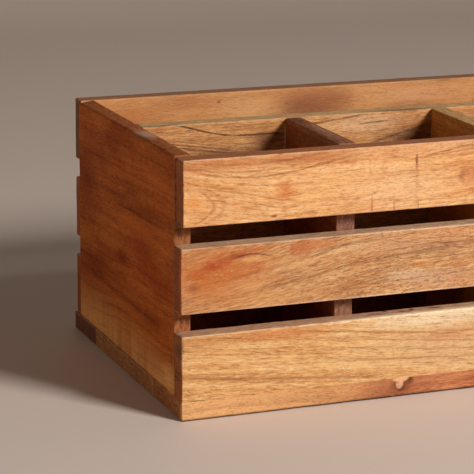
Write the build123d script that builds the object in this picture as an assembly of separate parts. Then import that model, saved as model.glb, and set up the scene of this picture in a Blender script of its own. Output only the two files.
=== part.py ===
from build123d import *
import os

# Slatted wooden crate for utensils: three compartments in front of one long rear compartment.
# The origin is the middle of the footprint on the underside, with +X right, +Y back and +Z up.

# Overall size, mm
LENGTH = 305.0
DEPTH = 203.0
HEIGHT = 152.0

# Base: three planks edge to edge, under every other board
BASE_THICKNESS = 11.4
FRONT_PLANK_WIDTH = 49.0
REAR_PLANK_WIDTH = 44.0

# End panels, standing on the base between the front and back slats
END_THICKNESS = 10.0

# Slats, at the same levels in front and behind
SLAT_THICKNESS = 12.0
SLAT_GAP = 12.1
BACK_SLAT_INSET = 1.5
SLAT_LEVELS = ("bottom", "middle", "top")

# Inner boards: the long partition and the two dividers of the front row
FRONT_ROW_DEPTH = 83.5
PARTITION_THICKNESS = 12.0
DIVIDER_THICKNESS = 11.6
LEFT_CELL_WIDTH = 89.3
MIDDLE_CELL_WIDTH = 87.5

# Sanded edges
EDGE_EASE = 0.8

# Headless brads, set below the surface and covered with wood filler
BRAD_DIAMETER = 1.2
BRAD_LENGTH = 25.0
BRAD_SET = 1.5
BRAD_SPACING = 8.0
FILLER_DIAMETER = 2.0
HOLE_CLEARANCE = 0.03

# Outer faces
left_face = -LENGTH / 2
right_face = LENGTH / 2
front_face = -DEPTH / 2
back_face = DEPTH / 2

# Inner faces of the slats and end panels
slat_front_inside = front_face + SLAT_THICKNESS
slat_back_inside = back_face - SLAT_THICKNESS
left_inside = left_face + END_THICKNESS
right_inside = right_face - END_THICKNESS

# Joints between the base planks
front_plank_joint = front_face + FRONT_PLANK_WIDTH
rear_plank_joint = back_face - REAR_PLANK_WIDTH

# Faces of the partition and left faces of the dividers
partition_front = slat_front_inside + FRONT_ROW_DEPTH
partition_back = partition_front + PARTITION_THICKNESS
left_divider_face = left_inside + LEFT_CELL_WIDTH
right_divider_face = left_divider_face + DIVIDER_THICKNESS + MIDDLE_CELL_WIDTH

# Slat heights
gaps_height = SLAT_GAP * (len(SLAT_LEVELS) - 1)
slat_height = (HEIGHT - BASE_THICKNESS - gaps_height) / len(SLAT_LEVELS)
slat_bottoms = [BASE_THICKNESS + i * (slat_height + SLAT_GAP) for i in range(len(SLAT_LEVELS))]
slat_middles = [bottom + slat_height / 2 for bottom in slat_bottoms]

# Middle planes of the boards that take brads in their edges
left_end_middle = left_face + END_THICKNESS / 2
right_end_middle = right_face - END_THICKNESS / 2
partition_middle = (partition_front + partition_back) / 2
divider_middles = [face + DIVIDER_THICKNESS / 2 for face in (left_divider_face, right_divider_face)]
end_middles = [left_end_middle, right_end_middle]

# How far a brad's tip lies below the face that it is driven through, plus room for a brad that crosses it
brad_reach = BRAD_SET + BRAD_LENGTH + BRAD_SPACING


def board(x_faces, y_faces, z_faces):
    """A plain board between two faces in each direction."""
    spans = (x_faces, y_faces, z_faces)
    size = [high - low for low, high in spans]
    middle = [(low + high) / 2 for low, high in spans]
    return Pos(*middle) * Box(*size)


def eased_top(solid, axis):
    """The two top edges along one axis, rounded by sanding."""
    return fillet(solid.edges().filter_by(axis).group_by(Axis.Z)[-1], EDGE_EASE)


def brad(mouth, inward):
    """A headless brad below its mouth on the board's face."""
    seat = Plane(origin=mouth, z_dir=inward) * Pos(0, 0, BRAD_SET)
    return seat * Cylinder(BRAD_DIAMETER / 2, BRAD_LENGTH, align=(Align.CENTER, Align.CENTER, Align.MIN))


def filler(mouth, inward):
    """The plug of wood filler between a brad and the board's face."""
    seat = Plane(origin=mouth, z_dir=inward)
    return seat * Cylinder(FILLER_DIAMETER / 2, BRAD_SET, align=(Align.CENTER, Align.CENTER, Align.MIN))


def hole(mouth, inward):
    """The stepped hole that a brad and its filler sit in."""
    seat = Plane(origin=mouth, z_dir=inward)
    low = (Align.CENTER, Align.CENTER, Align.MIN)
    shank = seat * Cylinder(BRAD_DIAMETER / 2 + HOLE_CLEARANCE, BRAD_SET + BRAD_LENGTH, align=low)
    return shank + seat * Cylinder(FILLER_DIAMETER / 2 + HOLE_CLEARANCE, BRAD_SET, align=low)


def front_slat_brad_seats():
    """Through each front slat into the edges of the end panels and dividers."""
    stations = end_middles + divider_middles
    return [((x, front_face, z), (0, 1, 0)) for z in slat_middles for x in stations]


def back_slat_brad_seats():
    """Through each back slat into the edges of the end panels."""
    return [((x, back_face, z), (0, -1, 0)) for z in slat_middles for x in end_middles]


def end_panel_brad_seats():
    """Through the end panels into the ends of the partition."""
    left = [((left_face, partition_middle, z), (1, 0, 0)) for z in slat_middles]
    right = [((right_face, partition_middle, z), (-1, 0, 0)) for z in slat_middles]
    return left + right


def divider_brad_seats():
    """Through the partition into the back edges of the dividers."""
    return [((x, partition_back, z), (0, -1, 0)) for z in slat_middles for x in divider_middles]


def base_brad_seats():
    """Up through the base planks into the end panels, the partition and the dividers."""
    front = front_face + brad_reach
    back = back_face - brad_reach
    behind_partition = partition_back + BRAD_SPACING
    before_partition = partition_back - brad_reach
    spots = [(x, y) for x in end_middles for y in (front, behind_partition, back)]
    spots += [(x, partition_middle) for x in (left_face + brad_reach, 0, right_face - brad_reach)]
    spots += [(x, y) for x in divider_middles for y in (front, before_partition)]
    return [((x, y, 0), (0, 0, 1)) for x, y in spots]


BRAD_SEATS = {
    "front_slat": front_slat_brad_seats(),
    "back_slat": back_slat_brad_seats(),
    "end_panel": end_panel_brad_seats(),
    "divider": divider_brad_seats(),
    "base": base_brad_seats(),
}


def drilled(solid, *joints):
    """The board with the holes of the brads that hold these joints."""
    return solid - [hole(*seat) for joint in joints for seat in BRAD_SEATS[joint]]


def base_plank(front, back):
    """One plank of the base, with its bottom edges eased where they are on the outside."""
    plank = board((left_face, right_face), (front, back), (0, BASE_THICKNESS))
    bottom = plank.faces().sort_by(Axis.Z)[0]
    outer = bottom.edges().filter_by(Axis.Y)
    for face_y in (front_face, back_face):
        outer += bottom.edges().filter_by(Axis.X).filter_by_position(Axis.Y, face_y, face_y)
    return drilled(fillet(outer, EDGE_EASE), "base")


def end_panel(outer, inner):
    """An end panel, with its top edges eased."""
    panel = board(sorted((outer, inner)), (slat_front_inside, slat_back_inside), (BASE_THICKNESS, HEIGHT))
    return drilled(eased_top(panel, Axis.Y), "front_slat", "back_slat", "end_panel", "base")


def front_slat(bottom):
    """A front slat, eased all round."""
    slat = board((left_face, right_face), (front_face, slat_front_inside), (bottom, bottom + slat_height))
    return drilled(fillet(slat.edges(), EDGE_EASE), "front_slat")


def back_slat(bottom):
    """A back slat, a little shorter than the front ones and eased all round."""
    ends = (left_face + BACK_SLAT_INSET, right_face - BACK_SLAT_INSET)
    slat = board(ends, (slat_back_inside, back_face), (bottom, bottom + slat_height))
    return drilled(fillet(slat.edges(), EDGE_EASE), "back_slat")


def middle_partition():
    """The long board between the front row and the rear compartment."""
    panel = board((left_inside, right_inside), (partition_front, partition_back), (BASE_THICKNESS, HEIGHT))
    return drilled(eased_top(panel, Axis.X), "end_panel", "divider", "base")


def divider(left):
    """A short board across the front row."""
    panel = board(
        (left, left + DIVIDER_THICKNESS),
        (slat_front_inside, partition_front),
        (BASE_THICKNESS, HEIGHT),
    )
    return drilled(eased_top(panel, Axis.Y), "front_slat", "divider", "base")


def all_nodes():
    """Every piece of the crate by name."""
    nodes = {
        "base_plank_front": base_plank(front_face, front_plank_joint),
        "base_plank_middle": base_plank(front_plank_joint, rear_plank_joint),
        "base_plank_rear": base_plank(rear_plank_joint, back_face),
        "left_end_panel": end_panel(left_face, left_inside),
        "right_end_panel": end_panel(right_face, right_inside),
        "middle_partition": middle_partition(),
        "left_divider": divider(left_divider_face),
        "right_divider": divider(right_divider_face),
    }
    for level, bottom in zip(SLAT_LEVELS, slat_bottoms):
        nodes["front_slat_" + level] = front_slat(bottom)
        nodes["back_slat_" + level] = back_slat(bottom)
    for joint, seats in BRAD_SEATS.items():
        nodes[joint + "_brads"] = Compound([brad(*seat).solid() for seat in seats])
        nodes[joint + "_fillers"] = Compound([filler(*seat).solid() for seat in seats])
    return nodes


os.makedirs("parts", exist_ok=True)
for name, shape in all_nodes().items():
    export_step(shape, "parts/" + name + ".step")
    print(name, len(shape.solids()), round(shape.volume, 1))
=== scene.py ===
import math
import bpy
from mathutils import Matrix, Vector


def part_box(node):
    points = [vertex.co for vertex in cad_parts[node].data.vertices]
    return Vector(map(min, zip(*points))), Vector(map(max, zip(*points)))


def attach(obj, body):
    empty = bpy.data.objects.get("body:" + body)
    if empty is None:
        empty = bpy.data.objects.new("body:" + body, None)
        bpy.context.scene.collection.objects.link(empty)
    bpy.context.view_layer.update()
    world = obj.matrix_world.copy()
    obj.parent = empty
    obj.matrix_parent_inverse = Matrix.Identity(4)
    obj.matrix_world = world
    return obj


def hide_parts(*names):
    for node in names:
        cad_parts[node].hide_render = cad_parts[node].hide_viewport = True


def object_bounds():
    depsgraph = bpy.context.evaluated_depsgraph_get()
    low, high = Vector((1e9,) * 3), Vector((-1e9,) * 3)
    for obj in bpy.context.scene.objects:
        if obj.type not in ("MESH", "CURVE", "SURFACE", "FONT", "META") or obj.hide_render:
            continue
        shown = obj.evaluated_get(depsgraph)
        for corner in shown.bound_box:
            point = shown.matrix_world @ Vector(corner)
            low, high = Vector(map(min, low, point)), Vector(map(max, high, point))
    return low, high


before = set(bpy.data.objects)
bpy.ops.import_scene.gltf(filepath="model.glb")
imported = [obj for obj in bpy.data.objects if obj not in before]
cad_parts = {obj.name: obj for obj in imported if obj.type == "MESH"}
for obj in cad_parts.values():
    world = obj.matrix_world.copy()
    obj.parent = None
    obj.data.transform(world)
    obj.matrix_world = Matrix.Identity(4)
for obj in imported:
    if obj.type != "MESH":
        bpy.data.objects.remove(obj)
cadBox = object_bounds()
scene = bpy.context.scene
scene.view_settings.view_transform = "Standard"
mm = 0.001
print("crate frame loaded:", len(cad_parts), "nodes")


# Node helpers, shared by the shader groups, the materials and the geometry trees

class Wire:
    # A node's output that can stand in a sum; each sum is a Math or Vector Math node of its own
    def __init__(self, socket):
        self.socket = socket
        self.tree = socket.id_data
        self.isVector = socket.type in ("VECTOR", "RGBA")

    def __add__(self, other):
        return calc("ADD", self, other)

    def __radd__(self, other):
        return calc("ADD", other, self)

    def __sub__(self, other):
        return calc("SUBTRACT", self, other)

    def __rsub__(self, other):
        return calc("SUBTRACT", other, self)

    def __mul__(self, other):
        if self.isVector and not isVector(other):
            return wire(self.tree, "ShaderNodeVectorMath", {0: self, "Scale": other}, operation="SCALE")
        return calc("MULTIPLY", self, other)

    def __truediv__(self, other):
        return calc("DIVIDE", self, other)


def isVector(value):
    return value.isVector if isinstance(value, Wire) else isinstance(value, tuple)


def treeOf(values):
    return next(value.tree for value in values if isinstance(value, Wire))


def feed(socket, value):
    if isinstance(value, Wire):
        value.tree.links.new(value.socket, socket)
    else:
        socket.default_value = value


def put(tree, kind, inputs=None, **settings):
    node = tree.nodes.new(kind)
    for key, value in settings.items():
        setattr(node, key, value)
    for key, value in (inputs or {}).items():
        feed(node.inputs[key], value)
    return node


def wire(tree, kind, inputs=None, output=0, **settings):
    return Wire(put(tree, kind, inputs, **settings).outputs[output])


def calc(operation, *values):
    kind = "ShaderNodeVectorMath" if any(isVector(value) for value in values) else "ShaderNodeMath"
    return wire(treeOf(values), kind, dict(enumerate(values)), operation=operation)


def length(vector):
    return wire(vector.tree, "ShaderNodeVectorMath", {0: vector}, "Value", operation="LENGTH")


def split(vector):
    return [Wire(socket) for socket in put(vector.tree, "ShaderNodeSeparateXYZ", {0: vector}).outputs]


def combine(*parts):
    return wire(treeOf(parts), "ShaderNodeCombineXYZ", dict(enumerate(parts)))


def ramp(value, low, high, toLow=0.0, toHigh=1.0, smooth=True):
    kind = "SMOOTHSTEP" if smooth else "LINEAR"
    ends = {"Value": value, "From Min": low, "From Max": high, "To Min": toLow, "To Max": toHigh}
    return wire(value.tree, "ShaderNodeMapRange", ends, interpolation_type=kind, clamp=True)


def noise(vector, seed, detail=2.0, rough=0.5, output="Fac"):
    ends = {"Vector": vector, "W": seed, "Scale": 1.0, "Detail": detail, "Roughness": rough}
    return wire(vector.tree, "ShaderNodeTexNoise", ends, output, noise_dimensions="4D")


def drift(vector, seed, detail, rough=0.5):
    # Noise in three directions, about zero
    return noise(vector, seed, detail, rough, "Color") - (0.5, 0.5, 0.5)


def blend(amount, a, b):
    return wire(amount.tree, "ShaderNodeMix", {0: amount, 6: a, 7: b}, 2, data_type="RGBA")


def tinted(colour, mask, strength, tint):
    return blend(mask * strength, colour, tint)


def newGroup(name, kind, inputs, outputs):
    # Sockets are listed by what they carry
    tree = bpy.data.node_groups.new(name, kind)
    for way, sockets in (("INPUT", inputs), ("OUTPUT", outputs)):
        for carried, labels in sockets.items():
            for label in labels:
                tree.interface.new_socket(name=label, in_out=way, socket_type="NodeSocket" + carried)
    given = {socket.name: Wire(socket) for socket in tree.nodes.new("NodeGroupInput").outputs}
    return tree, given, tree.nodes.new("NodeGroupOutput").inputs


def useGroup(group, inputs):
    kind = group.bl_idname.replace("Tree", "Group")
    node = put(treeOf(inputs.values()), kind, inputs, node_tree=group)
    return {socket.name: Wire(socket) for socket in node.outputs}


def newMaterial(name):
    material = bpy.data.materials.new(name)
    material.use_nodes = True
    return material, material.node_tree, material.node_tree.nodes["Principled BSDF"].inputs


def setSurface(surface, colour, rough, height, bumpStrength, bumpDepth):
    bump = {"Height": height, "Strength": bumpStrength, "Distance": bumpDepth}
    feed(surface["Base Color"], colour)
    feed(surface["Roughness"], rough)
    feed(surface["Normal"], wire(height.tree, "ShaderNodeBump", bump))


# Shader groups for wood; noise is spread in cells per metre, along the grain and across it

def makeGrainFlow():
    # Where a point lies in the log: its place along the fibres, and its distance from the pith
    tree, given, result = newGroup(
        "grainFlow", "ShaderNodeTree",
        {"Vector": ["Position", "Pith", "Lean"], "Float": ["Bow", "Wander", "Ripple", "Seed"]},
        {"Vector": ["Flow"], "Float": ["Radius"]})
    place = given["Position"]
    along = split(place)[0]
    bow = given["Bow"] * (along * along)
    fromPith = place - given["Pith"] - given["Lean"] * along - combine(0.0, bow, 0.0)
    for reach, spread, detail in (("Wander", (10.0, 20.0, 20.0), 1.0), ("Ripple", (62.0, 75.0, 75.0), 1.5)):
        fromPith = fromPith + drift(place * spread, given["Seed"], detail) * (given[reach] * 2.0)
    across = split(fromPith)
    feed(result["Flow"], combine(along, across[1], across[2]))
    feed(result["Radius"], length(combine(0.0, across[1], across[2])))
    return tree


def makeWoodFigure():
    # Growth rings, soft streaks, fibres, thin grain threads, pore dashes and clouds of colour
    tree, given, result = newGroup(
        "woodFigure", "ShaderNodeTree",
        {"Vector": ["Flow"], "Float": ["Radius", "Ring Width", "Seed"]},
        {"Float": ["Band", "Line", "Streak", "Fibre", "Pore", "Cloud", "Fleck", "Thread"]})
    flow = given["Flow"]
    seed = given["Seed"]
    along = split(flow)[0]
    ringRipple = 0.7        # of a ring's width
    ring = given["Radius"] / given["Ring Width"] + noise(flow * (12.0, 90.0, 90.0), seed) * ringRipple
    band = noise(combine(ring * 0.9, along * 2.0, 0.0), seed)
    feed(result["Band"], ramp(band, 0.3, 0.7, smooth=False))

    # Late wood darkens toward each ring's end, on some rings only
    saw = calc("FRACT", ring)
    late = ramp(saw, 0.5, 0.93) * ramp(saw, 1.0, 0.93)
    pick = noise(combine(ring * 0.61, along * 14.0, 3.0), seed, 1.0)
    feed(result["Line"], late * ramp(pick, 0.42, 0.68))

    # Each layer's spread, detail, roughness, and the noise values where it starts and is full
    layers = {
        "Streak": ((14.0, 330.0, 330.0), 2.0, 0.55, 0.3, 0.7),
        "Fibre": ((190.0, 1500.0, 1500.0), 2.0, 0.6, 0.3, 0.7),
        "Pore": ((480.0, 1700.0, 1700.0), 1.0, 0.6, 0.53, 0.66),
        "Cloud": ((17.0, 42.0, 42.0), 2.0, 0.5, 0.42, 0.68),
        "Fleck": ((300.0, 1500.0, 1500.0), 2.0, 0.6, 0.54, 0.72),
    }
    for number, (label, (spread, detail, rough, low, high)) in enumerate(layers.items()):
        pattern = noise(flow * spread, seed + number * 1.7, detail, rough)
        feed(result[label], ramp(pattern, low, high, smooth=label in ("Pore", "Cloud", "Fleck")))

    # Threads follow the contour lines of a stretched noise, with gaps
    level = noise(flow * (17.0, 300.0, 300.0), seed + 9.0)
    contourCount = 7.0
    contour = calc("FRACT", level * contourCount) - 0.5
    thread = 1.0 - ramp(calc("ABSOLUTE", contour), 0.0, 0.2)
    gaps = noise(flow * (70.0, 260.0, 260.0), seed + 12.0, 2.0, 0.6)
    feed(result["Thread"], thread * ramp(gaps, 0.42, 0.62))
    return tree


def makeBoardRim():
    # Masks for a board's eased edges (lightened for wear and as a painted highlight), its end grain and its
    # narrow sawn sides (coloured partly as painted shade and sheen)
    tree, given, result = newGroup(
        "boardRim", "ShaderNodeTree",
        {"Vector": ["Position", "Half Size"], "Float": ["Width", "Seed"]},
        {"Float": ["Rim", "End", "Side", "Saw", "Cut"]})
    place = given["Position"]
    toFace = split(given["Half Size"] - calc("ABSOLUTE", place))
    low = calc("MINIMUM", toFace[0], toFace[1])
    high = calc("MAXIMUM", toFace[0], toFace[1])
    toEdge = calc("MAXIMUM", low, calc("MINIMUM", high, toFace[2]))
    uneven = noise(place * (140.0, 260.0, 260.0), given["Seed"])
    reach = given["Width"] * ramp(uneven, 0.3, 0.7, 0.35, 1.6)
    feed(result["Rim"], 1.0 - ramp(toEdge, 0.0, reach))
    endStart, endDepth = 0.25 * mm, 0.8 * mm
    feed(result["End"], 1.0 - ramp(toFace[0], endStart, endDepth))
    sideDepth = 1.0 * mm
    edge = ramp(uneven, 0.3, 0.7, 0.3, 1.0) * sideDepth
    feed(result["Side"], 1.0 - ramp(toFace[1], edge * 0.35, edge))
    for label, spread in (("Saw", (150.0, 60.0, 480.0)), ("Cut", (650.0, 160.0, 720.0))):
        pattern = noise(place * spread, given["Seed"], 3.0, 0.7)
        feed(result[label], ramp(pattern, 0.36, 0.64, smooth=False))
    return tree


def makeSoftSpot():
    # A stain with a frayed edge
    tree, given, result = newGroup(
        "softSpot", "ShaderNodeTree",
        {"Vector": ["Position", "Centre", "Reach"], "Float": ["Core", "Fray", "Seed"]}, {"Float": ["Mask"]})
    place = given["Position"]
    fray = drift(place * (130.0, 420.0, 420.0), given["Seed"], 3.0, 0.6) * (given["Fray"] * 2.0)
    away = (place - given["Centre"]) / given["Reach"]
    feed(result["Mask"], 1.0 - ramp(length(away + fray), given["Core"], 1.0))
    return tree


def makeGrainVein():
    # One strong grain line, or a broad band, that swings along the board
    tree, given, result = newGroup(
        "grainVein", "ShaderNodeTree",
        {"Vector": ["Position"], "Float": ["Level", "Slope", "Swing", "Wave", "Phase", "Width", "From", "To",
                                           "Shake", "Seed"]}, {"Float": ["Mask"]})
    seed = given["Seed"]
    along, across = split(given["Position"])[:2]
    swing = calc("SINE", along * given["Wave"] + given["Phase"]) * given["Swing"]
    shake = (noise(combine(along * 130.0, 0.0, 0.0), seed, 3.0) - 0.5) * given["Shake"]
    line = given["Level"] + along * given["Slope"] + swing + shake
    core = 1.0 - ramp(calc("ABSOLUTE", across - line), 0.0, given["Width"])
    fade = 12 * mm
    fadeIn = ramp(along, given["From"], given["From"] + fade)
    fadeOut = ramp(along, given["To"], given["To"] - fade)
    broken = noise(combine(along * 90.0, 7.0, 0.0), seed)
    feed(result["Mask"], core * (fadeIn * fadeOut * ramp(broken, 0.3, 0.55, 0.4, 1.0)))
    return tree


def makeArcLines():
    # Nested arcs where the saw met the rings at a slant
    tree, given, result = newGroup(
        "arcLines", "ShaderNodeTree",
        {"Vector": ["Position", "Apex", "Reach"], "Float": ["Bend", "Spacing", "Width", "Seed"]},
        {"Float": ["Mask"]})
    away = given["Position"] - given["Apex"]
    along, across = split(away)[:2]
    swayReach = 4 * mm
    sway = (noise(given["Position"] * 130.0, given["Seed"]) - 0.5) * swayReach
    front = along + across * across * given["Bend"] + sway
    saw = calc("FRACT", front / given["Spacing"] + 0.5)
    aside = calc("ABSOLUTE", saw - 0.5) * given["Spacing"]
    line = 1.0 - ramp(aside, 0.0, given["Width"])
    inside = 1.0 - ramp(length(away / given["Reach"]), 0.5, 1.0)
    feed(result["Mask"], line * inside)
    return tree


grainFlow = makeGrainFlow()
woodFigure = makeWoodFigure()
boardRim = makeBoardRim()
softSpot = makeSoftSpot()
grainVein = makeGrainVein()
arcLines = makeArcLines()
print("wood shader groups made")


# Wood colours, written as screen values from 0 to 255

def shade(red, green, blue):
    values = [c / 255 for c in (red, green, blue)]
    values = [c / 12.92 if c <= 0.04045 else ((c + 0.055) / 1.055) ** 2.4 for c in values]
    return (*values, 1.0)


def dimmed(colour, share):
    return (*(share * c for c in colour[:3]), 1.0)


# A palette's side colour is partly painted shade and sheen for the narrow faces, and its rim colour partly a
# painted highlight on the eased edges
palettes = {
    "honey": {"dark": (164, 98, 50), "mid": (206, 140, 80), "main": (226, 166, 106), "pale": (242, 196, 138),
              "warm": (212, 130, 66), "line": (122, 68, 36), "end": (172, 68, 20), "side": (166, 92, 54),
              "rim": (246, 200, 164)},
    "ember": {"dark": (122, 74, 42), "mid": (180, 120, 70), "main": (203, 149, 96), "pale": (226, 184, 132),
              "warm": (188, 98, 46), "line": (84, 50, 32), "end": (172, 68, 20), "side": (214, 174, 139),
              "rim": (232, 178, 140)},
    "straw": {"dark": (158, 98, 50), "mid": (204, 144, 84), "main": (224, 172, 110), "pale": (242, 208, 150),
              "warm": (218, 134, 68), "line": (120, 74, 38), "end": (172, 68, 20), "side": (212, 162, 130),
              "rim": (250, 216, 170)},
    "umber": {"dark": (144, 64, 26), "mid": (175, 88, 36), "main": (191, 102, 44), "pale": (207, 120, 58),
              "warm": (148, 58, 24), "line": (80, 34, 16), "end": (180, 118, 80), "side": (150, 84, 44)},
    "cocoa": {"dark": (104, 52, 28), "mid": (140, 74, 38), "main": (158, 90, 48), "pale": (180, 114, 66),
              "warm": (124, 54, 26), "line": (58, 30, 18), "end": (172, 122, 98), "side": (136, 90, 64)},
    "sand": {"dark": (128, 74, 38), "mid": (186, 122, 68), "main": (212, 150, 92), "pale": (236, 186, 126),
             "warm": (202, 130, 72), "line": (76, 46, 28), "end": (216, 170, 116), "side": (226, 180, 124)},
    "rust": {"dark": (130, 66, 36), "mid": (176, 100, 60), "main": (194, 120, 74), "pale": (214, 148, 98),
             "warm": (166, 74, 40), "line": (84, 42, 24), "end": (140, 80, 48), "side": (196, 124, 78)},
    "tan": {"dark": (162, 100, 54), "mid": (200, 134, 78), "main": (214, 152, 94), "pale": (228, 176, 120),
            "warm": (204, 122, 64), "line": (110, 66, 38), "end": (134, 82, 58), "side": (160, 106, 74)},
}

# What every board starts from; lengths are metres here and millimetres in the marks
skin = 0.04 * mm        # room on a board's faces for the filler's face
plainBoard = {
    "trim": (0.0, 0.0), "skinZ": (skin, skin), "step": 1.6 * mm,
    "ease": (0.7 * mm, 0.7 * mm), "easeRight": 1.0, "chip": 0.5 * mm,
    "tilt": 0.0, "dip": 0.0, "slant": 0.0, "taper": 0.0,
    "pith": (0.0, -0.16, 0.04), "lean": (0.0, 0.0, 0.0), "bow": 0.0, "wander": 4 * mm, "ripple": 0.7 * mm,
    "ringWidth": 6 * mm, "contrast": 1.0, "streak": 0.2, "warmth": 0.3, "pores": 0.32,
    "poreEnds": (0.0, 0.001, 1.0), "threads": 0.35, "tints": {}, "sawDark": 0.62, "sideStrength": 0.88,
    "sideLow": 1.0, "rimWidth": 0.9 * mm, "rim": 0.4, "rimLow": 1.0, "gloss": 0.2,
    "spots": [], "veins": [], "arcs": [],
}


# Marks on a board, in millimetres about the crate's bottom centre

def spot(at, reach, tint, strength, core=0.1, fray=0.4):
    # A stain about a point
    return {"at": at, "reach": reach, "tint": tint, "strength": strength, "core": core, "fray": fray}


def vein(level, start, end, width, strength, tint=None, slope=0.0, swing=0.0, wave=20.0, phase=0.0,
         shake=1.6):
    # A grain line at a level, from one place along the grain to another
    return {"level": level, "start": start, "end": end, "width": width, "strength": strength, "tint": tint,
            "slope": slope, "swing": swing, "wave": wave, "phase": phase, "shake": shake}


def arc(apex, bend, spacing, width, reach, strength):
    # Nested arcs about a point
    return {"apex": apex, "bend": bend, "spacing": spacing, "width": width, "reach": reach,
            "strength": strength}


woodFinish = {
    "bandShare": 0.24, "fibreShare": 0.5, "lineShare": 0.35, "fleckShare": 0.3,
    "endShare": 0.85, "cutDark": 0.3,
    "roughLow": 0.58, "roughHigh": 0.42,        # between the fibres and on them
    "bareRough": 0.2,                           # added where the wood is sawn
    "poreDepth": 1.2, "sawDepth": 1.5, "bumpStrength": 0.5, "bumpDepth": 0.12 * mm,
    "markStep": 1.3,                            # from one mark's seed to the next
}


def woodMaterial(name, board, centre, half):
    tints = {**palettes[board["palette"]], **board["tints"]}
    colours = {key: shade(*tint) for key, tint in tints.items()}
    finish = woodFinish
    seed = board["seed"]
    order = board["axes"]
    middle = [centre[axis] for axis in order]
    material, tree, surface = newMaterial(name + "_wood")
    axes = split(wire(tree, "ShaderNodeAttribute", output="Vector", attribute_name="boardPlace"))
    place = combine(*(axes[axis] for axis in order))

    def local(point):
        return [point[axis] * mm - middle[i] for i, axis in enumerate(order)]

    def turned(size):
        return [size[axis] * mm for axis in order]

    def lowToHigh(strength, lowShare):
        # A strength that differs between the board's lower and upper half
        return ramp(axes[2], -0.3 * half[2], 0.3 * half[2], strength * lowShare, strength)

    log = useGroup(grainFlow, {
        "Position": place, "Pith": board["pith"], "Lean": board["lean"], "Bow": board["bow"],
        "Wander": board["wander"], "Ripple": board["ripple"], "Seed": seed})
    figure = useGroup(woodFigure, {
        "Flow": log["Flow"], "Radius": log["Radius"], "Ring Width": board["ringWidth"], "Seed": seed})
    rim = useGroup(boardRim, {
        "Position": place, "Half Size": [half[axis] for axis in order],
        "Width": board["rimWidth"], "Seed": seed})

    # Ground colour: bands, streaks and fibres about the middle of the palette
    contrast = board["contrast"]
    shares = {"Band": finish["bandShare"], "Streak": board["streak"], "Fibre": finish["fibreShare"]}
    tone = 0.5 - 0.5 * contrast * sum(shares.values())
    for layer, share in shares.items():
        tone = tone + figure[layer] * (share * contrast)
    scale = put(tree, "ShaderNodeValToRGB", {0: tone})
    stops = scale.color_ramp.elements
    stops[0].position, stops[0].color = 0.08, colours["dark"]
    stops[1].position, stops[1].color = 0.84, colours["pale"]
    for position, key in ((0.36, "mid"), (0.54, "main")):
        stop = stops.new(position)
        stop.color = colours[key]
    colour = tinted(Wire(scale.outputs[0]), figure["Cloud"], board["warmth"], colours["warm"])

    # Sawn sides, their colour partly painted shade and painted sheen on the narrow top faces, and end grain
    sawnWithPaintedLight = blend(rim["Saw"], dimmed(colours["side"], board["sawDark"]), colours["side"])
    side = rim["Side"] * lowToHigh(board["sideStrength"], board["sideLow"])
    colour = blend(side, colour, sawnWithPaintedLight)
    cut = blend(rim["Cut"], dimmed(colours["end"], finish["cutDark"]), colours["end"])
    colour = tinted(colour, rim["End"], finish["endShare"], cut)

    # Marks
    for mark in board["spots"]:
        seed = seed + finish["markStep"]
        mask = useGroup(softSpot, {
            "Position": place, "Centre": local(mark["at"]), "Reach": turned(mark["reach"]),
            "Core": mark["core"], "Fray": mark["fray"], "Seed": seed})["Mask"]
        colour = tinted(colour, mask, mark["strength"], shade(*mark["tint"]))
    broad = 1.0 - side
    for mark in board["veins"]:
        seed = seed + finish["markStep"]
        mask = useGroup(grainVein, {
            "Position": place, "Level": mark["level"] * mm - middle[1] + mark["slope"] * middle[0],
            "Slope": mark["slope"], "Swing": mark["swing"] * mm, "Wave": mark["wave"], "Phase": mark["phase"],
            "Width": mark["width"] * mm, "From": mark["start"] * mm - middle[0],
            "To": mark["end"] * mm - middle[0], "Shake": mark["shake"] * mm, "Seed": seed})["Mask"]
        tint = shade(*mark["tint"]) if mark["tint"] else colours["line"]
        colour = tinted(colour, mask * broad, mark["strength"], tint)
    for mark in board["arcs"]:
        mask = useGroup(arcLines, {
            "Position": place, "Apex": local(mark["apex"]), "Reach": turned(mark["reach"]),
            "Bend": mark["bend"], "Spacing": mark["spacing"] * mm, "Width": mark["width"] * mm,
            "Seed": seed})["Mask"]
        colour = tinted(colour, mask, mark["strength"], colours["dark"])

    # Fine grain, and eased edges lightened over everything: wear, and a painted highlight
    poreStart, poreEnd, poreShare = board["poreEnds"]
    pores = ramp(axes[0], poreStart, poreEnd, poreShare * board["pores"], board["pores"])
    colour = tinted(colour, figure["Line"], finish["lineShare"] * contrast, colours["line"])
    colour = tinted(colour, figure["Thread"], board["threads"], colours["dark"])
    colour = tinted(colour, figure["Pore"], pores, colours["line"])
    colour = tinted(colour, figure["Fleck"], finish["fleckShare"] * contrast, colours["pale"])
    rubbedAndHighlit = lowToHigh(board["rim"], board["rimLow"])
    colour = tinted(colour, rim["Rim"], rubbedAndHighlit, colours.get("rim", colours["pale"]))

    bare = calc("MAXIMUM", rim["End"], rim["Side"])
    rough = ramp(figure["Fibre"], 0.0, 1.0, finish["roughLow"], finish["roughHigh"], smooth=False)
    rough = rough + bare * finish["bareRough"]
    grain = figure["Fibre"] - figure["Pore"] * finish["poreDepth"] + rim["Saw"] * bare * finish["sawDepth"]
    setSurface(surface, colour, rough, grain, finish["bumpStrength"], finish["bumpDepth"])
    surface["Specular IOR Level"].default_value = board["gloss"]
    return material


# Geometry tree for a hand-cut board: a box whose edges are eased unevenly and chipped

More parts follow.
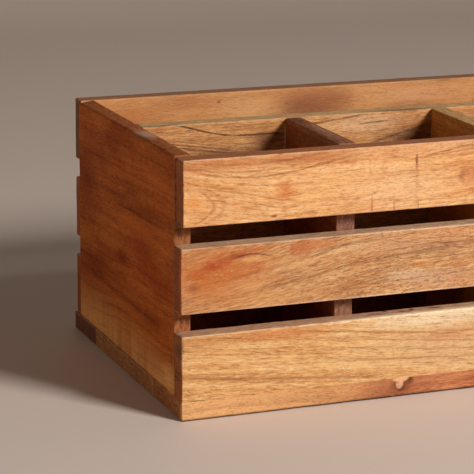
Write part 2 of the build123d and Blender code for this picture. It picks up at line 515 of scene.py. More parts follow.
def makeFineEnds():
    # Spreads even steps so that the last few on each side are close together
    tree, given, result = newGroup(
        "fineEnds", "GeometryNodeTree",
        {"Float": ["Place", "Half", "Fine Width"], "Int": ["Cells", "Fine Cells"]}, {"Float": ["Place"]})
    cells = given["Cells"]
    fine = given["Fine Cells"]
    width = given["Fine Width"]
    step = (given["Place"] + 1.0) * 0.5 * cells
    last = cells - fine
    middle = (given["Half"] - width) * 2.0
    place = given["Half"] * -1.0
    for start, end, span in ((0.0, fine, width), (fine, last, middle), (last, cells, width)):
        place = place + ramp(step, start, end, 0.0, span, smooth=False)
    feed(result["Place"], place)
    return tree


def endTree(result, geometry, material):
    # A geometry tree's last nodes: real geometry with its material on it
    real = wire(geometry.tree, "GeometryNodeRealizeInstances", {"Geometry": geometry})
    dressed = wire(geometry.tree, "GeometryNodeSetMaterial", {"Geometry": real, "Material": material})
    feed(result["Geometry"], dressed)


def makeBoardTree(fineEnds):
    tree, given, result = newGroup(
        "handCutBoard", "GeometryNodeTree",
        {"Geometry": ["Geometry"], "Vector": ["Centre", "Half Size"],
         "Int": ["Cells X", "Cells Y", "Cells Z", "Fine Cells"],
         "Float": ["Fine Width", "Ease Low", "Ease High", "Ease Right", "Chip", "Tilt", "Dip", "Slant",
                   "Taper", "Seed"],
         "Material": ["Wood"]},
        {"Geometry": ["Geometry"]})
    half = given["Half Size"]
    seed = given["Seed"]
    counts = {"Vertices " + axis: given["Cells " + axis] + 1.0 for axis in "XYZ"}
    box = wire(tree, "GeometryNodeMeshCube", {"Size": (2.0, 2.0, 2.0), **counts})
    at = split(wire(tree, "GeometryNodeInputPosition"))
    halves = split(half)
    spread = [useGroup(fineEnds, {
        "Place": at[i], "Half": halves[i], "Cells": given["Cells " + axis],
        "Fine Cells": given["Fine Cells"], "Fine Width": given["Fine Width"]})["Place"]
        for i, axis in enumerate("XYZ")]
    place = combine(*spread)

    # Eased and chipped edges
    wearCells, nickCells = 55.0, 230.0      # per metre
    uneven = noise(place * wearCells, seed)
    ease = ramp(at[2], -1.0, 1.0, given["Ease Low"], given["Ease High"], smooth=False)
    ease = ease * ramp(uneven, 0.3, 0.7, 0.55, 1.5)
    ease = ease * ramp(at[0], -0.4, 0.4, 1.0, given["Ease Right"], smooth=False)
    nick = noise(place * nickCells, seed + 5.0, 2.0, 0.6)
    ease = ease + given["Chip"] * ramp(nick, 0.58, 0.74)
    core = half - combine(ease, ease, ease)
    inner = calc("MAXIMUM", calc("MINIMUM", place, core), core * -1.0)
    outward = calc("NORMALIZE", place - inner)
    straight = inner + outward * ease
    kept = {"Geometry": box, "Name": "boardPlace", "Value": straight}
    marked = wire(tree, "GeometryNodeStoreNamedAttribute", kept, data_type="FLOAT_VECTOR", domain="POINT")

    # Out of true: the top dips and slants, the board leans and tapers
    rounded = split(straight)
    share = [rounded[i] / halves[i] for i in range(3)]
    upward = ramp(share[2], 0.0, 1.0, smooth=False)
    toBack = ramp(share[1], 0.4, 1.0, smooth=False)
    toLeft = ramp(share[0], 1.0, -1.0, smooth=False)
    lower = (given["Dip"] * (toBack * toBack) + given["Slant"]) * toLeft
    height = rounded[2] - lower * upward
    narrowing = toLeft * ramp(share[1], -1.0, 1.0, smooth=False)
    aside = rounded[0] + rounded[2] * given["Tilt"] + narrowing * given["Taper"]
    final = combine(aside, rounded[1], height) + given["Centre"]
    shaped = wire(tree, "GeometryNodeSetPosition", {"Geometry": marked, "Position": final})

    # Smooth shading, except where the mesh bends sharply
    smooth = wire(tree, "GeometryNodeSetShadeSmooth", {"Geometry": shaped})
    sharpBend = math.radians(58)
    bend = wire(tree, "GeometryNodeInputMeshEdgeAngle", output="Unsigned Angle")
    sharp = {"Geometry": smooth, "Selection": calc("GREATER_THAN", bend, sharpBend), "Shade Smooth": False}
    endTree(result, wire(tree, "GeometryNodeSetShadeSmooth", sharp, domain="EDGE"), given["Wood"])
    return tree


def runTree(name, tree, inputs, mesh=None):
    # Runs a geometry tree on a mesh and keeps its result as a plain mesh
    holder = bpy.data.objects.new(name, mesh or bpy.data.meshes.new(name + "_start"))
    scene.collection.objects.link(holder)
    modifier = holder.modifiers.new("shape", "NODES")
    modifier.node_group = tree
    for item in tree.interface.items_tree:
        if item.in_out == "INPUT" and item.name in inputs:
            modifier[item.identifier] = inputs[item.name]
    bpy.context.view_layer.update()
    result = bpy.data.meshes.new_from_object(holder.evaluated_get(bpy.context.evaluated_depsgraph_get()))
    holder.modifiers.clear()
    holder.data = result
    result.name = name
    return holder


def dress(piece, node):
    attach(piece, "root")
    if node:
        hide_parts(node)


boardTree = makeBoardTree(makeFineEnds())
alongX = (0, 2, 1)      # grain along X, face in X and Z: slats and the partition
alongY = (1, 2, 0)      # grain along Y, face in Y and Z: end panels and dividers
flatX = (0, 1, 2)       # grain along X, face in X and Y: base planks

boards = {}
boards["front_slat_top"] = {
    "axes": alongX, "palette": "honey", "slot": "slat_wood", "seed": 2.0, "trim": (1.2 * mm, 0.0),
    "slant": 0.7 * mm, "ease": (0.1 * mm, 0.7 * mm), "skinZ": (0.0, 0.04 * mm), "streak": 0.36,
    "threads": 0.6, "rim": 0.6, "rimLow": 0.4, "lean": (0.0, 0.06, 0.0), "bow": 0.6, "wander": 5 * mm,
    "warmth": 0.22, "contrast": 0.9,
    "spots": [
        spot((-86, -101, 148), (32, 5, 4.5), (176, 96, 48), 0.6),
        spot((-130, -101, 148), (34, 5, 5), (196, 122, 70), 0.45),
        spot((-145, -101, 126), (8, 5, 7), (224, 136, 60), 0.5),
        spot((-138, -101, 123), (6, 5, 5), (232, 160, 84), 0.45),
        spot((-80, -101, 127), (24, 5, 11), (250, 192, 126), 0.5),
        spot((-90, -101, 130.4), (9.5, 5, 8), (200, 100, 32), 0.95),
        spot((-112, -101, 121.5), (11, 5, 3.4), (204, 124, 62), 0.5),
        spot((-97, -101, 115.8), (3.4, 3, 1.6), (140, 58, 26), 0.9),
        spot((-90.6, -101, 118.9), (3.4, 3, 2.6), (190, 100, 52), 0.6),
        spot((-45.8, -101, 121.7), (3.4, 3, 2.4), (180, 96, 56), 0.6),
        spot((-48, -101, 144), (3, 3, 3), (196, 120, 66), 0.5),
        spot((-36.2, -101, 117.5), (0.9, 3, 10), (172, 70, 22), 1.0, core=0.3, fray=0.5),
        spot((-22.2, -101, 116.5), (0.8, 3, 8), (176, 76, 28), 0.95, core=0.3, fray=0.5),
        spot((-8.4, -101, 141), (1.1, 3, 10), (124, 54, 32), 0.9, core=0.2, fray=0.6),
        spot((-8.0, -101, 128), (2.2, 3, 20), (190, 100, 56), 0.8, fray=0.7),
        spot((-6.8, -101, 115.6), (0.8, 3, 4), (150, 76, 44), 0.8),
        spot((-38, -101, 138), (1.1, 3, 9), (186, 106, 58), 0.6, fray=1.4),
        spot((27, -101, 131), (8, 4, 10), (190, 104, 58), 0.65),
        spot((21.5, -101, 131), (4.5, 4, 5.5), (136, 70, 48), 0.75, fray=1.1),
        spot((-60, -101, 132), (20, 5, 8), (246, 190, 122), 0.35),
        spot((-104, -101, 130), (30, 5, 7), (248, 190, 124), 0.45),
        spot((-20, -101, 126), (54, 6, 19), (242, 194, 142), 0.55, fray=0.25),
        spot((-152, -89.6, 132), (2.4, 1.0, 44), (40, 20, 10), 0.85, fray=0.3),
        spot((-151.3, -95.5, 113.2), (3, 9, 1.6), (40, 20, 10), 0.95, core=0.4, fray=0.2),
    ],
    "veins": [
        vein(148.5, -200, -40, 8, 0.5, tint=(186, 106, 56), shake=4.0),
        vein(149.0, -56, 220, 8, 0.5, tint=(204, 142, 98), shake=4.0),
        vein(144.2, -146, -38, 1.0, 0.6, swing=4.9, wave=40, phase=2.71, shake=2.4),
        vein(147.2, -160, -50, 1.2, 0.4, swing=4.4, wave=38, phase=2.6, shake=3.0),
        vein(150.2, -160, -58, 1.2, 0.4, swing=3.0, wave=38, phase=2.6, shake=3.0),
        vein(102.6, -130, -84, 0.7, 0.5, slope=-0.24),
        vein(98.0, -126, -88, 0.7, 0.45, slope=-0.24),
        vein(93.6, -124, -94, 0.8, 0.4, slope=-0.25),
        vein(144.6, -16, 60, 0.8, 0.65, slope=0.17),
        vein(143.8, -10, 70, 0.7, 0.5, slope=0.105),
        vein(118.0, -30, 60, 0.5, 0.4),
        vein(115.4, -60, 40, 0.5, 0.4, slope=0.01),
    ],
    "arcs": [
        arc((-132.8, -101.5, 124.4), 120.0, 40.0, 2.2, (30, 8, 14), 0.55),
        arc((-127, -101.5, 124.4), 110.0, 40.0, 3.0, (32, 8, 15), 0.38),
        arc((21, -101.5, 131), -80.0, 7.5, 2.0, (12, 8, 10), 0.22),
    ],
}
boards["front_slat_middle"] = {
    "axes": alongX, "palette": "ember", "slot": "slat_wood", "seed": 5.0, "slant": 0.2 * mm,
    "ease": (0.35 * mm, 0.65 * mm), "skinZ": (0.6 * mm, 0.04 * mm), "lean": (0.0, 0.06, 0.0), "bow": -0.6,
    "wander": 5 * mm, "ripple": 1.0 * mm, "warmth": 0.2, "pores": 0.46,
    "poreEnds": (-120 * mm, -40 * mm, 0.35),
    "spots": [
        spot((-132, -101, 84), (56, 6, 26), (190, 104, 44), 0.92, fray=0.3),
        spot((-142, -101, 86), (10, 5, 5), (180, 84, 36), 0.7),
        spot((-134, -101, 89.5), (9, 5, 4.5), (164, 60, 20), 0.85),
        spot((-127, -101, 92), (8, 5, 4), (164, 62, 26), 0.7),
        spot((-119, -101, 94.8), (10, 4, 3.4), (156, 62, 30), 0.8),
        spot((-110, -101, 96), (14, 4, 3), (184, 92, 46), 0.6),
        spot((-107, -101, 87), (8, 4, 4.5), (186, 92, 44), 0.65),
        spot((-81, -101, 95), (12, 5, 8), (178, 88, 44), 0.65),
        spot((-70, -101, 97), (26, 5, 6), (192, 104, 54), 0.55),
        spot((-145, -101, 77.8), (6, 4, 4), (146, 74, 40), 0.7),
        spot((-110, -101, 91.8), (13, 3, 1.8), (218, 158, 96), 0.9, fray=0.3),
        spot((-50, -101, 71), (12, 5, 5), (160, 102, 58), 0.5),
        spot((8, -101, 89), (36, 5, 6), (150, 100, 68), 0.5),
        spot((-14, -101, 74), (20, 5, 6), (212, 176, 136), 0.6),
        spot((-5, -101, 80), (8, 4, 1.9), (212, 122, 52), 0.85),
        spot((22, -101, 76.5), (7, 4, 3), (184, 102, 58), 0.6),
        spot((17, -101, 68.6), (6, 4, 2.4), (214, 126, 72), 0.65),
        spot((16, -101, 97), (18, 4, 4), (206, 134, 88), 0.5),
        spot((-100, -101, 68), (30, 5, 5), (214, 154, 88), 0.4),
        spot((-110, -101, 76), (30, 5, 6), (216, 156, 98), 0.5),
        spot((-152, -89.6, 82), (2.4, 1.0, 44), (40, 20, 10), 0.85, fray=0.3),
        spot((-22, -101, 93), (44, 5, 9), (220, 168, 122), 0.45),
        spot((6, -101, 71), (36, 5, 8), (206, 162, 128), 0.5),
        # painted highlight along the top front edge
        spot((-10, -101.5, 101.1), (110, 3.6, 0.8), (250, 208, 166), 0.6, core=0.3, fray=0.25),
        # pale bottom front edge: wear, and partly a painted highlight
        spot((-10, -101.5, 63.2), (130, 1.2, 1.3), (230, 192, 158), 0.6, core=0.3, fray=0.25),
    ],
    "veins": [
        vein(91.6, -128, -94, 0.9, 0.85, swing=3.4, wave=92.0, phase=11.7, shake=1.2),
        vein(105.7, -116, -64, 0.9, 0.3, slope=0.3),
        vein(102.6, -108, -66, 0.8, 0.25, slope=0.3),
        vein(108.0, -84, -40, 0.8, 0.3, slope=0.24),
        vein(99.4, -60, 0, 0.7, 0.45, slope=0.08),
        vein(89.0, -34, 60, 0.9, 0.5, swing=3.0, wave=50.0, phase=1.3, shake=3.0),
        vein(86.0, -40, 50, 0.8, 0.42, swing=2.6, wave=52.0, phase=1.2, shake=3.0),
        vein(92.4, -30, 60, 0.8, 0.4, swing=2.8, wave=46.0, phase=1.3, shake=3.0),
        vein(83.0, -40, 50, 0.6, 0.45, slope=0.03),
        vein(72.0, -40, 40, 0.6, 0.4, slope=0.04),
    ],
}
boards["front_slat_bottom"] = {
    "axes": alongX, "palette": "straw", "slot": "slat_wood", "seed": 8.0, "trim": (0.4 * mm, 0.0),
    "slant": 0.2 * mm, "ease": (0.05 * mm, 0.8 * mm), "lean": (0.0, -0.09, 0.0), "wander": 2.5 * mm,
    "ripple": 0.4 * mm, "chip": 0.9 * mm, "contrast": 0.9, "warmth": 0.2, "pores": 0.3, "streak": 0.28,
    "threads": 0.65, "rimLow": 0.0, "sideLow": 0.0, "skinZ": (0.0, 0.04 * mm),
    "spots": [
        spot((-94, -101, 46.5), (36, 4, 5), (212, 124, 60), 0.5, fray=0.8),
        spot((-132, -101, 36), (30, 5, 6), (234, 182, 118), 0.5),
        spot((30, -101, 30), (110, 5, 28), (214, 172, 126), 0.7),
        spot((8, -101, 46), (70, 5, 7.5), (236, 212, 172), 0.8),
        spot((16, -101, 34), (36, 5, 6), (208, 136, 84), 0.45),
        spot((-30, -101, 24), (50, 5, 6), (232, 180, 118), 0.4),
        spot((-152, -89.6, 31), (2.4, 1.0, 44), (40, 20, 10), 0.85, fray=0.3),
        spot((-143, -101.5, 11.4), (14, 2, 0.9), (108, 54, 26), 0.9),
        spot((-22, -91.8, 50.2), (3, 2.2, 1.2), (74, 36, 26), 0.9, core=0.3, fray=0.7),
        spot((-11, -95.2, 50.2), (6, 3.2, 1.2), (110, 58, 40), 0.8, core=0.2, fray=1.0),
        spot((-5.5, -93.5, 50.2), (2.2, 2.6, 1.2), (52, 26, 18), 0.95, core=0.4, fray=0.6),
        spot((-152, -97.5, 44), (2.4, 12, 10), (60, 26, 12), 0.85),
        spot((-152, -94, 25.5), (2.4, 12, 5), (60, 26, 12), 0.8),
        spot((-29, -96, 50.2), (8, 4, 1.2), (136, 80, 54), 0.7, core=0.2, fray=1.0),
        spot((9, -93, 50.2), (6, 3, 1.2), (110, 60, 40), 0.7, core=0.2, fray=1.0),
        # painted highlight along the top front edge
        spot((20, -101.5, 50.2), (122, 6.0, 2.4), (250, 224, 182), 0.75, core=0.3, fray=0.6),
    ],
    "veins": [
        vein(46.0, -200, -60, 7, 0.5, tint=(188, 112, 60), shake=4.0),
        vein(10.6, -162, -24, 1.8, 0.75, tint=(168, 100, 54), slope=-0.099),
        vein(8.2, -120, -40, 0.9, 0.5, tint=(160, 96, 50), slope=-0.099),
        vein(13.6, -156, -70, 0.8, 0.4, tint=(160, 96, 50), slope=-0.095),
        vein(25.4, -154, -56, 1.0, 0.5, tint=(170, 106, 54), slope=-0.094),
        vein(31.0, -130, -60, 0.8, 0.45, tint=(170, 106, 54), slope=-0.075),
        vein(37.8, -82, 30, 1.2, 0.75, tint=(164, 98, 54), slope=-0.112),
        vein(38.8, 0, 110, 1.0, 0.65, tint=(156, 98, 54), slope=-0.075),
        vein(33.4, -64, 40, 0.8, 0.5, tint=(160, 100, 56), slope=-0.105),
        vein(28.0, -20, 90, 0.8, 0.5, tint=(156, 96, 54), slope=-0.08),
        vein(22.5, -60, 60, 0.7, 0.4, tint=(160, 100, 56), slope=-0.06),
    ],
}
boards["back_slat_top"] = {
    "axes": alongX, "palette": "tan", "slot": "slat_wood", "seed": 11.0, "warmth": 0.4, "contrast": 0.45,
    "pores": 0.2,
    "spots": [
        # painted soft shadow on the inner face
        spot((3, 90, 137), (38, 7, 20), (132, 72, 46), 0.8, fray=0.15),
        spot((24, 90, 142), (26, 6, 14), (152, 88, 54), 0.6),
        spot((84, 90, 132), (36, 6, 10), (134, 76, 40), 0.75),
        spot((-57.8, 89.5, 145.8), (2.2, 3, 1.8), (126, 64, 34), 0.8),
        spot((-132, 90, 132), (30, 6, 10), (130, 70, 36), 0.65),
        spot((-120, 90, 138), (50, 6, 16), (190, 112, 54), 0.55),
        spot((-84, 90, 147), (34, 6, 7), (174, 104, 58), 0.55),
        spot((-34, 90, 139), (28, 6, 11), (228, 172, 112), 0.55, fray=0.3),
        spot((86, 90, 142), (40, 6, 12), (220, 162, 116), 0.4),
        spot((104, 89.5, 151.5), (12, 3, 2), (120, 62, 44), 0.7),
    ],
}
boards["back_slat_middle"] = {
    "axes": alongX, "palette": "honey", "slot": "slat_wood", "seed": 14.0, "lean": (0.0, 0.04, 0.0),
}
boards["back_slat_bottom"] = {
    "axes": alongX, "palette": "ember", "slot": "slat_wood", "seed": 17.0, "lean": (0.0, -0.05, 0.0),
}
boards["left_end_panel"] = {
    "axes": alongY, "palette": "umber", "slot": "panel_wood", "seed": 20.0, "dip": 1.3 * mm,
    "ease": (0.3 * mm, 1.5 * mm), "easeRight": 0.2, "warmth": 0.6, "ripple": 0.4 * mm, "wander": 7 * mm,
    "lean": (0.0, -0.06, 0.0), "contrast": 0.9, "pores": 0.2, "threads": 0.3, "gloss": 0.02, "streak": 0.34,
    "tints": {"side": (186, 110, 64), "rim": (190, 112, 66)}, "sawDark": 0.4,
    "spots": [
        spot((-152, 2, 71), (6, 18, 8), (122, 44, 18), 0.7),
        spot((-152, 64, 54), (6, 46, 13), (126, 50, 20), 0.7),
        spot((-152, 76, 100), (6, 26, 44), (132, 52, 20), 0.5),
        spot((-152, -14, 116), (6, 24, 7), (136, 58, 24), 0.5),
        spot((-152, -40, 47), (6, 50, 8), (140, 56, 20), 0.55),
        spot((-152, -20, 96), (6, 44, 7), (212, 108, 36), 0.5),
        spot((-152, -60, 132), (6, 34, 8), (206, 108, 40), 0.45),
        spot((-152, -80, 19), (6, 18, 12), (248, 186, 112), 0.8),
        # painted sheen on the top face
        spot((-147, -27, 152), (8, 20, 3), (214, 172, 148), 0.65),
        spot((-148, 44, 152), (8, 62, 3), (148, 80, 42), 0.55),
    ],
    "veins": [
        vein(12.0, -200, 200, 31, 1.0, tint=(228, 160, 94), swing=3.0, wave=26.0, phase=0.6, shake=2.0),
        vein(103.6, -130, 10, 1.6, 0.55, slope=-0.03),
        # painted shadow in the seam above the base
        vein(11.4, -200, 200, 2.2, 1.0, tint=(34, 16, 8), shake=0.6),
        vein(108.0, -130, 90, 5.0, 0.3, slope=-0.03),
        vein(47.0, -70, 120, 3.0, 0.4, slope=0.01),
        vein(141.0, -130, 40, 1.6, 0.35, slope=-0.01),
        vein(126.0, -130, 90, 1.4, 0.3, slope=-0.02),
        vein(57.0, -110, 110, 0.9, 0.35),
    ],
}
boards["right_end_panel"] = {
    "axes": alongY, "palette": "umber", "slot": "panel_wood", "seed": 23.0, "contrast": 1.1, "pores": 0.24,
    "gloss": 0.02, "wander": 9 * mm, "lean": (0.0, 0.05, 0.0), "warmth": 0.6, "streak": 0.34,
    "tints": {"side": (214, 150, 112)}, "sawDark": 0.3,
    "spots": [
        spot((152, 30, 96), (6, 40, 16), (132, 56, 26), 0.6),
        spot((152, -46, 60), (6, 50, 14), (206, 120, 58), 0.5),
        spot((152, -20, 134), (6, 60, 10), (140, 62, 28), 0.5),
    ],
    "veins": [
        vein(16.0, -200, 200, 22, 0.9, tint=(214, 146, 84), swing=3.0, wave=24.0, phase=2.0, shake=2.0),
        vein(84.0, -70, 90, 1.4, 0.5, slope=0.05),
        vein(118.0, -110, 60, 1.6, 0.4, slope=0.03),
    ],
}
boards["middle_partition"] = {
    "axes": alongX, "palette": "sand", "slot": "inner_wood", "seed": 26.0, "warmth": 0.25, "wander": 6 * mm,
    "pores": 0.3, "contrast": 0.95, "rim": 0.1,
    "spots": [
        spot((-66, -6, 147), (20, 5, 6), (206, 138, 70), 0.5),
        spot((-96, -6, 140), (26, 5, 5), (202, 134, 68), 0.5),
        spot((-92, -6, 129), (60, 5, 12), (110, 58, 28), 0.85),
        spot((-64, -6, 140), (16, 5, 9), (112, 66, 38), 0.75),
        spot((2, -6, 145), (34, 5, 9), (238, 190, 144), 0.55),
        # a darker patch in the wood, deepened as painted shade
        spot((34, -6, 132), (34, 5, 16), (104, 56, 28), 0.9),
        # painted shade: the lower partition darkened where little light reaches
        spot((-20, -6, 40), (420, 30, 90), (96, 50, 28), 0.9, fray=0.12),
        spot((30, -5, 152), (44, 3, 1.0), (110, 66, 34), 0.85, fray=0.2),
        spot((-132, -5, 152), (18, 3, 1.0), (116, 70, 38), 0.75, fray=0.2),
    ],
    "veins": [
        vein(132.86, -150, -46, 0.95, 1.0, tint=(52, 28, 16), slope=-0.147, swing=2.08, wave=73.4,
             phase=5.08, shake=0.8),
        vein(120.6, -132, -80, 0.8, 0.8, slope=-0.16),
        vein(118.6, -126, -76, 0.8, 0.8, slope=-0.16),
        vein(122.6, -130, -86, 0.6, 0.5, slope=-0.16),
        vein(148.4, -96, -48, 0.6, 0.45, slope=0.02),
        vein(150.3, -96, -50, 0.6, 0.45, slope=0.02),
        vein(150.8, -54, 6, 1.0, 0.8, tint=(66, 40, 22), slope=0.115, shake=0.8),
        vein(130.9, 2, 54, 1.4, 0.75, slope=0.25),
        vein(145.2, -8, 22, 0.8, 0.7, slope=0.06),
    ],
}
boards["left_divider"] = {
    "axes": alongY, "palette": "cocoa", "slot": "inner_wood", "seed": 29.0, "chip": 1.1 * mm, "tilt": 0.008,
    "taper": 2.2 * mm, "sawDark": 0.22, "tints": {"side": (178, 108, 74)},
    "spots": [
        # painted shade: the lower divider darkened where little light reaches
        spot((-53, -38, 62), (30, 54, 66), (76, 36, 20), 0.85, fray=0.15),
        spot((-51.5, -60, 152), (2.6, 52, 3), (78, 38, 22), 0.45, fray=0.9),
        spot((-45, -52, 152), (3, 48, 3), (176, 132, 100), 0.6, fray=0.8),
        spot((-48, -16, 152), (8, 20, 3), (78, 36, 22), 0.6, fray=0.9),
    ],
}
boards["right_divider"] = {
    "axes": alongY, "palette": "sand", "slot": "inner_wood", "seed": 32.0, "contrast": 0.8,
    "taper": 1.5 * mm, "tints": {"dark": (140, 76, 30), "mid": (186, 114, 46), "main": (208, 138, 62),
    "pale": (224, 162, 86), "warm": (194, 116, 46), "side": (222, 172, 114)},
    "spots": [
        # painted shade: the lower divider darkened where little light reaches
        spot((46, -38, 62), (30, 54, 66), (84, 42, 20), 0.85, fray=0.15),
    ],
}
boards["base_plank_front"] = {
    "axes": flatX, "palette": "rust", "slot": "base_wood", "seed": 35.0, "sideStrength": 0.0,
    "trim": (0.6 * mm, 0.0), "ease": (0.95 * mm, 0.05 * mm), "streak": 0.34, "contrast": 1.15,
    "tints": {"end": (196, 124, 72)}, "rim": 0.0, "skinZ": (0.04 * mm, 0.0),
    "spots": [
        spot((-165, -101.4, 5), (226, 4, 40), (230, 172, 112), 0.95, fray=0.1),
        spot((-16, -101, 5), (36, 14, 20), (156, 76, 46), 0.6, fray=0.2),
        spot((-15, -101, 7), (9, 5, 6), (112, 48, 26), 0.75),
        spot((-9.2, -101, 9.6), (4.2, 4, 3.6), (84, 38, 24), 0.85),
        spot((-14.6, -101, 11.0), (7.2, 5, 3.6), (104, 48, 28), 0.8, core=0.6, fray=0.3),
        spot((-15.4, -101, 7.2), (4.0, 5, 4.6), (104, 48, 28), 0.8, core=0.6, fray=0.3),
        spot((-15.2, -101, 11.4), (6.2, 5, 3.2), (228, 172, 124), 1.0, core=0.55, fray=0.3),
        spot((-15.8, -101, 7.8), (3.0, 5, 3.6), (228, 174, 132), 1.0, core=0.55, fray=0.3),
        # painted contact shadow along the bottom front edge
        spot((0, -101.5, 0.2), (600, 3, 1.8), (44, 20, 10), 1.0, fray=0.1),
    ],
}
boards["base_plank_middle"] = {
    "axes": flatX, "palette": "ember", "slot": "base_wood", "seed": 38.0, "sideStrength": 0.2,
    "ease": (1.0 * mm, 0.2 * mm), "tints": {"end": (196, 122, 66)},
}
boards["base_plank_rear"] = {
    "axes": flatX, "palette": "rust", "slot": "base_wood", "seed": 41.0, "sideStrength": 0.2,
    "ease": (1.0 * mm, 0.2 * mm), "tints": {"end": (104, 60, 50)},
}


fineSteps = {"cells": 5, "width": 2.0 * mm}      # close steps along each edge of a board's mesh


def makeBoard(node, settings):
    board = {**plainBoard, **settings}
    low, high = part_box(node)
    low = low + Vector((board["trim"][0], 0.0, 0.0))
    high = high - Vector((board["trim"][1], 0.0, 0.0))
    low = low + Vector((skin, skin, board["skinZ"][0]))
    high = high - Vector((skin, skin, board["skinZ"][1]))
    centre = (low + high) / 2
    half = (high - low) / 2
    inputs = {"Centre": centre, "Half Size": half, "Wood": woodMaterial(node, board, centre, half),
              "Fine Cells": fineSteps["cells"], "Fine Width": fineSteps["width"],
              "Ease Low": board["ease"][0], "Ease High": board["ease"][1], "Ease Right": board["easeRight"]}
    for label in ("Chip", "Tilt", "Dip", "Slant", "Taper", "Seed"):
        inputs[label] = board[label.lower()]
    for i, axis in enumerate("XYZ"):
        inputs["Cells " + axis] = 2 * fineSteps["cells"] + max(2, round(2 * half[i] / board["step"]))
    piece = runTree(node + "_board", boardTree, inputs)
    dress(piece, node)
    return piece


for node, settings in boards.items():
    made = makeBoard(node, settings)
    print("board made:", made.name, len(made.data.polygons), "faces")


# Wood filler over the brads: flush discs, one set for each joint

filler = {
    "radius": 0.95 * mm, "depth": 0.6 * mm, "sink": 0.01 * mm,
    "bradReach": 34.5 * mm,     # room for the brads driven in from a face
    "bradSpacing": 8 * mm,
    "speck": (96, 54, 30), "speckScale": 2600.0, "seed": 4.0,
    "tints": {"front_slat_fillers": [(206, 148, 92), (196, 134, 84), (222, 160, 100)],
              "back_slat_fillers": [(190, 130, 82), (214, 152, 96), (202, 138, 82)],
              "end_panel_fillers": [(182, 94, 36), (176, 86, 32), (182, 92, 34)],
              "divider_fillers": [(204, 150, 96)], "base_fillers": [(176, 108, 64)]},
}


def makeFillerTree():
    tree, given, result = newGroup(
        "fillerDots", "GeometryNodeTree",
        {"Geometry": ["Geometry"], "Float": ["Radius", "Depth"], "Material": ["Filler"]},
        {"Geometry": ["Geometry"]})
    size = {"Vertices": 20, "Radius": given["Radius"], "Depth": given["Depth"]}
    disc = wire(tree, "GeometryNodeMeshCylinder", size, "Mesh")
    outward = wire(tree, "GeometryNodeInputNamedAttribute", {"Name": "outward"}, data_type="FLOAT_VECTOR")
    turn = wire(tree, "FunctionNodeAlignRotationToVector", {"Vector": outward}, axis="Z")
    dots = {"Points": given["Geometry"], "Instance": disc, "Rotation": turn}
    endTree(result, wire(tree, "GeometryNodeInstanceOnPoints", dots), given["Filler"])
    return tree


def fillerMaterial(name, tints):
    # One tint for each slat level, from the bottom up
    material, tree, surface = newMaterial(name)
    where = wire(tree, "ShaderNodeTexCoord", output="Object")
    height = split(where)[2]
    base = shade(*tints[0])
    for level, tint in zip(("middle", "top"), tints[1:]):
        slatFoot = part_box("front_slat_" + level)[0].z
        base = blend(calc("GREATER_THAN", height, slatFoot), base, shade(*tint))
    speck = noise(where * filler["speckScale"], filler["seed"], 3.0, 0.6)
    colour = blend(ramp(speck, 0.35, 0.6, 0.35, 0.0), base, shade(*filler["speck"]))
    setSurface(surface, colour, ramp(speck, 0.3, 0.7, 0.75, 0.6), speck, 0.3, 0.1 * mm)
    return material


def middleOf(node):
    low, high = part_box(node)
    return (low + high) / 2


def fillerSeats():
    # Each joint's filler, as points on the boards' faces and the way that they face
    ends = [middleOf(node).x for node in ("left_end_panel", "right_end_panel")]
    dividers = [middleOf(node).x for node in ("left_divider", "right_divider")]
    levels = [middleOf("front_slat_" + level).z for level in ("bottom", "middle", "top")]
    across = middleOf("middle_partition").y
    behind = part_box("middle_partition")[1].y
    low, high = cadBox
    reach = filler["bradReach"]
    front = low.y + reach
    outer = ((low.x, -1), (high.x, 1))
    under = [(x, y) for x in ends for y in (front, behind + filler["bradSpacing"], high.y - reach)]
    under += [(x, across) for x in (low.x + reach, 0.0, high.x - reach)]
    under += [(x, y) for x in dividers for y in (front, behind - reach)]
    return {
        "front_slat_fillers": [((x, low.y, z), (0, -1, 0)) for z in levels for x in ends + dividers],
        "back_slat_fillers": [((x, high.y, z), (0, 1, 0)) for z in levels for x in ends],
        "end_panel_fillers": [((x, across, z), (side, 0, 0)) for x, side in outer for z in levels],
        "divider_fillers": [((x, behind, z), (0, 1, 0)) for z in levels for x in dividers],
        "base_fillers": [((x, y, low.z), (0, 0, -1)) for x, y in under],
    }


fillerTree = makeFillerTree()
for node, seats in fillerSeats().items():
    start = bpy.data.meshes.new(node + "_seats")
    below = filler["depth"] / 2 + filler["sink"]
    start.from_pydata([Vector(at) - Vector(facing) * below for at, facing in seats], [], [])
    outward = start.attributes.new("outward", "FLOAT_VECTOR", "POINT")
    outward.data.foreach_set("vector", [c for at, facing in seats for c in facing])
    inputs = {"Radius": filler["radius"], "Depth": filler["depth"],
              "Filler": fillerMaterial(node, filler["tints"][node])}
    dots = runTree(node + "_dots", fillerTree, inputs, start)
    dress(dots, node)
print("filler dots made")


# Glue squeezed out where the left divider meets the partition

glue = {
    "tint": (196, 146, 104), "radius": 0.7 * mm, "seed": 3.0,
    "start": 32 * mm, "end": 4 * mm,        # below the divider's top
    "startLean": 0.55,                      # share of the divider's lean at the bead's start
    "offSide": 0.1 * mm, "offBack": 0.2 * mm,
}


